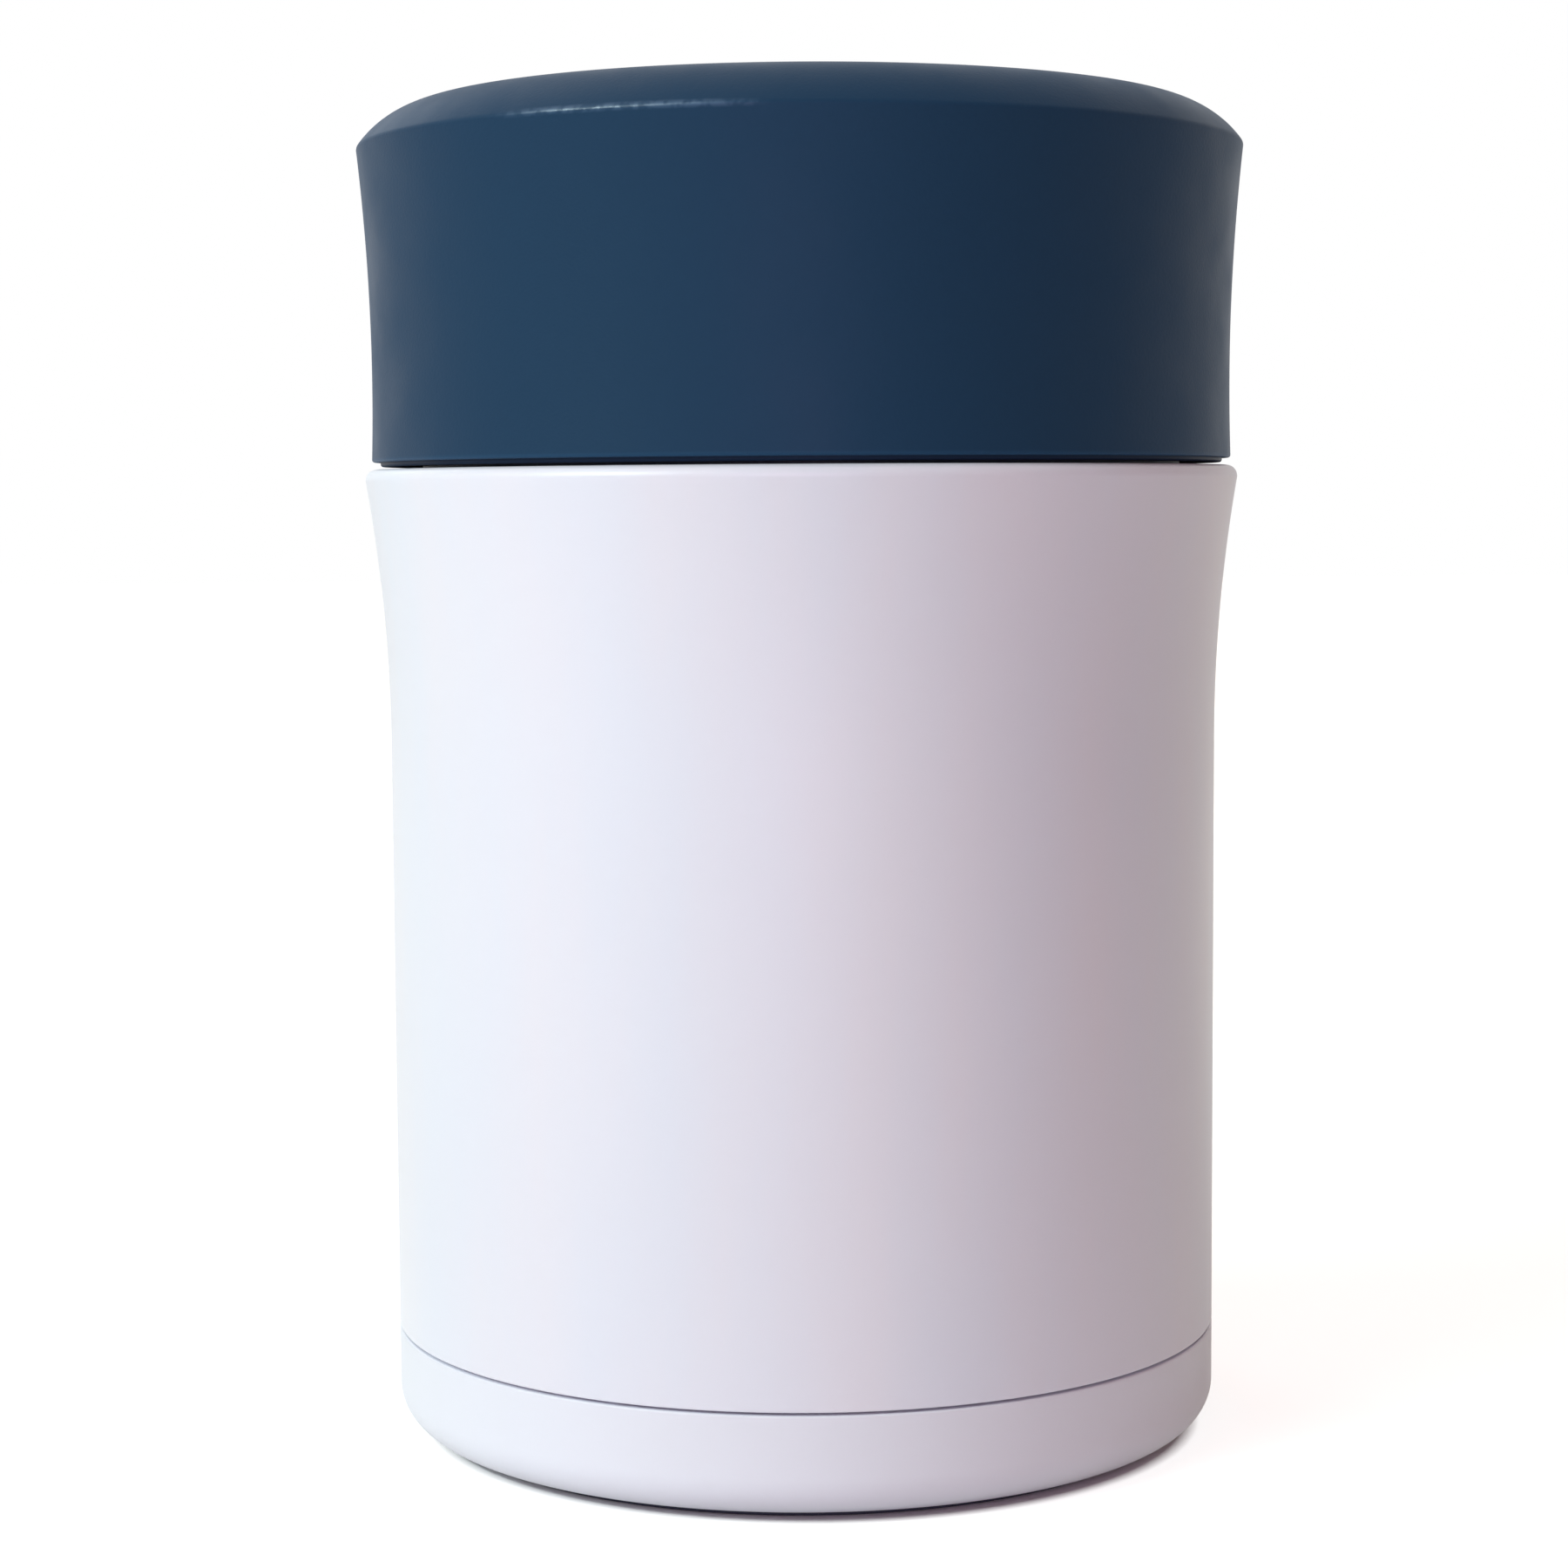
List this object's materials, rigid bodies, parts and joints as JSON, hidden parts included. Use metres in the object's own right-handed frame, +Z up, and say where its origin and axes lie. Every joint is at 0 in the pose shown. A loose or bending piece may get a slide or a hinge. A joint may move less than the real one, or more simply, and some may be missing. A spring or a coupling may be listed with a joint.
{
  "type": "vacuum food jar",
  "caption": "Wide-mouth vacuum food jar with a flared white steel body, a tall dark blue screw lid that serves as a bowl, and a screw-in stopper with a vent button.",
  "frame": {"origin": "centre of the foot ring, on the table", "axes": "+Z up along the jar's axis, +X along the stopper's grip bar"},
  "size_m": [0.0988, 0.0988, 0.1488],
  "materials": {
    "body_paint": "satin",
    "bare_steel": "satin",
    "foil": "polished",
    "seal_bead": "gloss",
    "getter": "matte",
    "collar_plastic": "satin",
    "silicone": "satin",
    "base_plastic": "satin",
    "bond": "matte",
    "foot_rubber": "matte",
    "foam": "matte",
    "lid_plastic": "matte",
    "bowl_plastic": "satin",
    "stopper_plastic": "satin",
    "cover_plastic": "satin",
    "button_plastic": "satin",
    "spring_steel": "polished"
  },
  "bodies": {
    "jar": {"outer_shell": "body_paint", "inner_liner": "bare_steel", "outer_bottom": "bare_steel", "evacuation_seal": "seal_bead", "radiation_foil": "foil", "getter_holder": "bare_steel", "getter_pellet": "getter", "neck_collar": "collar_plastic", "collar_seal": "silicone", "base_cap": "base_plastic", "base_bond": "bond", "foot_ring": "foot_rubber"},
    "lid_core": {"lid_insulation": "foam"},
    "lid": {"lid_shell": "lid_plastic", "lid_bowl": "bowl_plastic"},
    "stopper_core": {"stopper_insulation": "foam"},
    "stopper": {"stopper_body": "stopper_plastic", "stopper_cover": "cover_plastic", "stopper_gasket": "silicone", "vent_spring": "spring_steel"},
    "vent": {"vent_button": "button_plastic", "vent_stem": "bare_steel", "vent_valve": "silicone"}
  },
  "joints": [
    {"name": "lid_rise", "type": "slide", "parent": "jar", "child": "lid_core", "axis": [0, 0, 1], "range_m": [0, 0.0481]},
    {"name": "lid_turn", "type": "hinge", "parent": "lid_core", "child": "lid", "pos_m": [0, 0, 0.126], "axis": [0, 0, 1], "range_deg": [0, 1080]},
    {"name": "stopper_rise", "type": "slide", "parent": "jar", "child": "stopper_core", "axis": [0, 0, 1], "range_m": [0, 0.0081]},
    {"name": "stopper_turn", "type": "hinge", "parent": "stopper_core", "child": "stopper", "pos_m": [0, 0, 0.122], "axis": [0, 0, 1], "range_deg": [0, 360]},
    {"name": "vent_press", "type": "slide", "parent": "stopper", "child": "vent", "axis": [0, 0, -1], "range_m": [0, 0.0025], "stiffness_N_per_m": 400, "springref_m": -0.003, "deforming": ["vent_spring"]}
  ],
  "couplings": [
    {"joint": "lid_rise", "follows": "lid_turn", "m_per_rad": 0.0025465},
    {"joint": "stopper_rise", "follows": "stopper_turn", "m_per_rad": 0.0012732}
  ]
}
